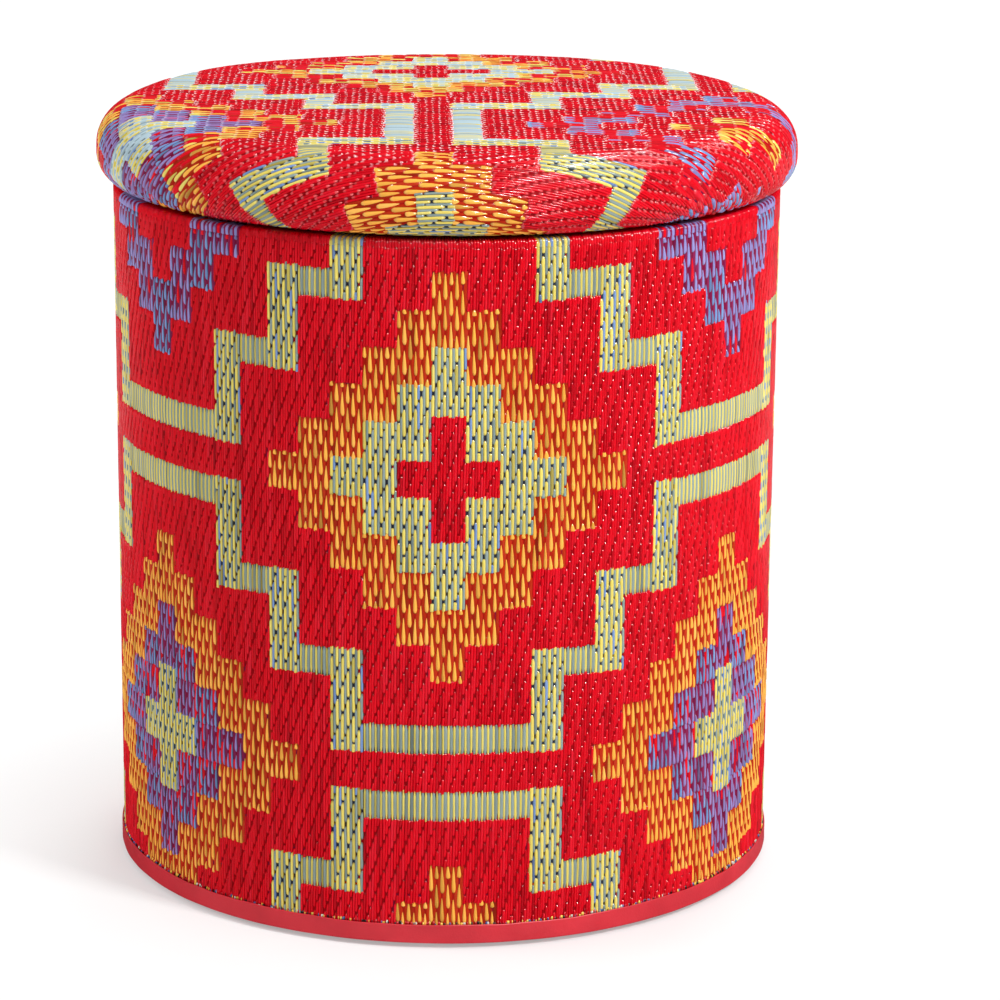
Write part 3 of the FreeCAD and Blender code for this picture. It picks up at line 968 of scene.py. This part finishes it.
def foot_band(thick=0.0008, soft=0.0005, fold=0.0010, turned_to=0.168):
    """The vinyl strip: a soft upper edge over the straws' ends, turned under at the bottom."""
    outer, top, low = band_high.x, band_high.z, band_low.z
    skin = profile_line([
        ("line", outer - 0.0008, top - GAP, outer - soft, top),
        ("arc", outer - soft, top - soft, soft, 90, 0),
        ("line", outer, top - soft, outer, low + fold),
        ("arc", outer - fold, low + fold, fold, 0, -90),
        ("line", outer - fold, low, turned_to, low),
    ], -1)
    places = np.concatenate([np.linspace(0, 0.0014, 8), np.linspace(0.002, 0.0095, 12),
                             np.linspace(0.0098, 0.0126, 10), np.linspace(0.0132, skin[0][-1], 14)])

    def shift(turn, r, z):
        front = np.clip((r - 0.1925) / 0.001, 0, 1)
        wave = 0.10 * np.sin(7 * turn + 0.5) + 0.07 * np.sin(19 * turn) + 0.05 * np.sin(43 * turn + 1)
        edge = np.clip((z - low - 0.004) / 0.008, 0, 1)
        lift = 0.22 * np.sin(11 * turn + 1) + 0.14 * np.sin(29 * turn) + 0.08 * np.sin(61 * turn)
        return r + 0.001 * wave * front, z + 0.001 * lift * edge

    points, faces = sheet_turned(skin, places, thick, 720, shift, SEAM)
    return add_mesh("foot_band_vinyl", points, faces, "drum", VINYL)


def disc_piece(name, rim, low, high, body, material, n=80):
    """A closed round slab: rim(turn) is its radius, low(x, y) and high(x, y) its two faces."""
    x, y, share, down, edge = disc_grid(n)
    reach = rim(np.arctan2(x, -y))
    x, y = x * reach, y * reach
    pinch = np.clip((1 - share) * reach / 0.0015, 0, 1) ** 0.5
    middle = (low(x, y) + high(x, y)) / 2
    half = (high(x, y) - low(x, y)) / 2 * (0.3 + 0.7 * pinch)
    points = [np.stack([x, y, z], axis=-1) for z in (middle + half, middle - half)]
    return add_mesh(name, points, stack_faces(down[:, FLIP], edge[::-1], 2, n * n), body, material)


def batten_step(turn):
    """1 over the batten behind the seam, 0 elsewhere, with a short slope between."""
    return np.clip((BATTEN_HALF - (math.pi - np.abs(turn))) / BATTEN_SLOPE + 1, 0, 1)


def face(level, size=0.0):
    """A level face of a slab of cloth or foam, with ripples up to about a size."""
    def height(x, y):
        broad = np.sin(61 * x + 23 * y) * np.cos(47 * y - 11 * x)
        return level + size * (broad + 0.5 * np.sin(131 * x - 97 * y + 1)) / 1.5
    return height


def side_lining():
    """Cloth against the inside of the wall, stepping in round the batten, with slight puckers."""
    outer, thick, step = lining_high.x - GAP, 0.0009, 0.0082
    line = profile_line([("line", outer, lining_low.z + GAP, outer, lining_high.z - GAP)])

    def shift(turn, r, z):
        level = (z - lining_low.z) / (lining_high.z - lining_low.z)
        pucker = 0.0005 * (1 + np.sin(26 * turn + 2 * np.sin(5 * level)) * np.sin(9 * level + 3 * turn))
        return r - step * batten_step(turn) - pucker * np.sin(math.pi * level), z

    points, faces = sheet_turned(line, np.linspace(0, line[0][-1], 60), thick, 540, shift)
    return add_mesh("side_lining_cloth", points, faces, "drum", WALL_CLOTH)


def floor_pad(notch=0.0086):
    """A thin padded cloth disc, notched for the batten."""
    return disc_piece("floor_pad_cloth", lambda turn: pad_high.x - 0.0002 - notch * batten_step(turn),
                      face(pad_low.z + GAP), face(pad_high.z - 0.0003, 0.0003), "drum", CLOTH)


def underside_cover(inset=0.00012, size=0.0001):
    """Thin dust cloth under the base, pulled flat with faint ripples."""
    return disc_piece("underside_cloth", lambda turn: under_high.x + 0 * turn,
                      face(under_low.z + inset, size), face(under_high.z - inset, size), "drum", DUST)


def lid_lining():
    """Cloth under the lid, over the mat's turned edge."""
    return disc_piece("lid_lining_cloth", lambda turn: lid_lining_high.x + 0 * turn,
                      face(lid_lining_low.z + GAP), face(lid_lining_high.z - 0.0002, 0.0001), "lid", CLOTH)


def lid_foam(width=0.012, pressed=0.004):
    """The foam slab, its cut faces slightly uneven and its upper edge pressed round."""
    top = face(foam_high.z - 0.0006, 0.0004)

    def high(x, y):
        edge = np.clip((np.hypot(x, y) - foam_high.x + width) / width, 0, 1)
        return top(x, y) - pressed * edge ** 3

    return disc_piece("lid_foam_slab", lambda turn: foam_high.x - 0.0004 + 0.0003 * np.sin(9 * turn),
                      face(foam_low.z + GAP), high, "lid", FOAM, 100)


def lid_wadding(n=240):
    """Soft wadding under the cover: over the foam, down the side and round under the board's edge."""
    outside = lid_line(MAT + 0.0003)
    length, radius = (x[outside[1] > 0.15][::-1] for x in outside[:2])
    s = np.linspace(0.0005, np.interp(-board_high.x, -radius, length), 90)
    turn = all_round(n)
    tuft = 0.0003 * np.sin(37 * turn + 90 * s) * np.sin(140 * s - 11 * turn)
    skin = over_lid(outside)(s * np.sin(turn), s * np.cos(turn), tuft - 0.0003)
    r = np.concatenate([np.full(30, board_high.x + 0.0003), np.linspace(board_high.x - 0.004, 0.0005, 60)])
    z = np.concatenate([np.linspace(board_low.z, foam_high.z, 30), np.full(60, foam_high.z + GAP)])
    hollow = np.stack([r * np.cos(math.pi / 2 - turn), r * np.sin(math.pi / 2 - turn), z + 0 * turn], -1)
    grid = np.concatenate([skin, hollow], axis=1)
    return add_mesh("lid_wadding_layer", grid, ring_faces(n, grid.shape[1]), "lid", WADDING)


def ring_screws(number=6, head=0.004, neck=0.002, head_height=0.003, n=41):
    """Countersunk screws with a cross recess, their heads just proud of the lid's ring."""
    x, y, share, down, edge = disc_grid(n)
    arm = np.minimum(np.abs(x), np.abs(y)) * head
    recess = fade(arm, 0.00075, 0.0002) * fade(share, 0.65, 0.06)
    top = screws_low.z - 0.0004 * (1 - share ** 6) - 0.0001 + 0.00035 * recess
    layers = [np.stack([x * wide, y * wide, z + 0 * x], axis=-1) for wide, z in (
        (head, top), (neck, screws_low.z + head_height), (neck, screws_high.z))]
    used, faces = np.unique(stack_faces(down, edge, len(layers), n * n), return_inverse=True)
    one = np.reshape(layers, (-1, 3))[used]
    shade = np.concatenate([recess.ravel(), np.zeros(2 * n * n)])[used]
    circle = ring_high.x - RING_WIDTH / 2
    turns = math.pi / number + 2 * math.pi * np.arange(number) / number
    twist = rng.random(number) * math.pi
    points = []
    for turn, t in zip(turns, twist):
        c, s = math.cos(t), math.sin(t)
        spin = np.array(((c, s, 0), (-s, c, 0), (0, 0, 1)))
        points.append(one @ spin + (circle * math.cos(turn), circle * math.sin(turn), 0))
    faces = [faces.reshape(-1, 4) + k * len(one) for k in range(number)]
    return add_mesh("ring_screw_heads", points, faces, "lid", SCREW, {"recess": np.tile(shade, number)})


def finish_cad_nodes():
    """Gives every CAD node its material, also where a piece replaces it."""
    looks = {"glides": PLASTIC, "foot_band": VINYL, "underside_cover": DUST, "lid_foam": FOAM,
             "lid_wadding": WADDING}
    for name in ("drum_wall", "seam_batten", "base_board", "top_hoop", "lid_board", "lid_ring"):
        looks[name] = WOOD
    for name in ("side_lining", "floor_pad", "lid_lining"):
        looks[name] = CLOTH
    for name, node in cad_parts.items():
        node.data.materials.clear()
        node.data.materials.append(looks.get(name, STEEL))


def camera():
    """The photograph's view: a long lens, a little above the lid, slightly turned and rolled."""
    place = (0, -2.100, 0.7556)
    pitch, yaw, roll = math.radians(14.626), math.radians(0.880), math.radians(0.525)
    focal_pixels, image_pixels, sensor = 3659.0, 1000.0, 36.0
    data = bpy.data.cameras.new("camera")
    data.sensor_width = sensor
    data.lens = focal_pixels * sensor / image_pixels
    data.clip_start, data.clip_end = 0.05, 50.0
    eye = add_object("camera", data)
    eye.matrix_world = Matrix.Translation(place)
    for angle, axis in ((-yaw, "Z"), (math.pi / 2 - pitch, "X"), (roll, "Z")):
        eye.matrix_world = eye.matrix_world @ Matrix.Rotation(angle, 4, axis)
    bpy.context.scene.camera = eye


def lamp(name, place, aim, size, power, **sight):
    """A flat lamp at a place, turned to a height on the Z axis."""
    data = bpy.data.lights.new(name, "AREA")
    data.shape = "RECTANGLE"
    data.size, data.size_y = size
    data.energy = power
    light = add_object(name, data)
    light.location = place
    light.rotation_mode = "QUATERNION"
    light.rotation_quaternion = (Vector((0, 0, aim)) - Vector(place)).to_track_quat("-Z", "Y")
    for kind, seen in sight.items():
        setattr(light, kind, seen)


def white_floor(size=12.0):
    """A white floor that stays white for the camera, but for a shadow by the foot, and dim in reflections."""
    look = Look("studio_floor")
    look.nodes.clear()
    place = look.place()
    seen, mirrored = look.rays()
    matte, dim = (look.add("BsdfDiffuse", {"Color": (tone, tone, tone, 1)}) for tone in (0.85, 0.12))
    shine = look.add("Emission", {"Color": WHITE, "Strength": 1.06})
    distance = look.add("VectorMath", {0: place}, "Value", operation="LENGTH")
    far = look.mapped(distance, 0.33, 1.0, 0.19, 0.37)
    lit = look.add("MixShader", {0: look.maths("MULTIPLY", seen, far), 1: matte, 2: shine})
    front = look.mapped(look.add("SeparateXYZ", {0: place}, "Y"), 1.0, 0.0, 0.2, 0.5)
    both = look.add("MixShader", {0: look.maths("MULTIPLY", mirrored, front), 1: lit, 2: dim})
    look.fill(look.nodes.new("ShaderNodeOutputMaterial"), {"Surface": both})
    mesh = bpy.data.meshes.new("floor")
    corners = [(-size, -size, 0), (size, -size, 0), (size, size, 0), (-size, size, 0)]
    mesh.from_pydata(corners, [], [(0, 1, 2, 3)])
    mesh.materials.append(look.owner)
    floor = add_object("floor", mesh)


def studio():
    """White surroundings, dim in reflections, and four lamps."""
    look = Look("studio", "worlds")
    bpy.context.scene.world = look.owner
    seen, mirrored = look.rays()
    level = look.mapped(mirrored, look.mapped(seen, 0.62, 1.0), 0.14)
    look.fill(look.nodes["Background"], {"Color": WHITE, "Strength": level})
    lamp("key", (1.5, -1.3, 1.9), 0.25, (0.45, 0.45), 49)
    lamp("back", (0.5, 1.8, 1.5), 0.4, (1.4, 0.7), 22, visible_glossy=False)
    lamp("fill", (-2.0, 0.0, 1.1), 0.35, (0.8, 0.8), 14, visible_glossy=False)
    lamp("glint", (0.8, -1.5, 2.0), 0.35, (0.2, 0.2), 70, visible_diffuse=False)
    white_floor()
    bpy.context.scene.view_settings.view_transform = "Standard"


finish_cad_nodes()
sides = side_straws() + rim_straws() + [cut_ends()]
side_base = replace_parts(side_ground(), "side_cover")
tops = lid_straws()
lid_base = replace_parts(lid_ground(), "lid_cover")
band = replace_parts(foot_band(), "foot_band")
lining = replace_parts(side_lining(), "side_lining")
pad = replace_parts(floor_pad(), "floor_pad")
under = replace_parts(underside_cover(), "underside_cover")
lid_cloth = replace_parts(lid_lining(), "lid_lining")
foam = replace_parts(lid_foam(), "lid_foam")
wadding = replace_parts(lid_wadding(), "lid_wadding")
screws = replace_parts(ring_screws(), "ring_screws")

camera()
studio()
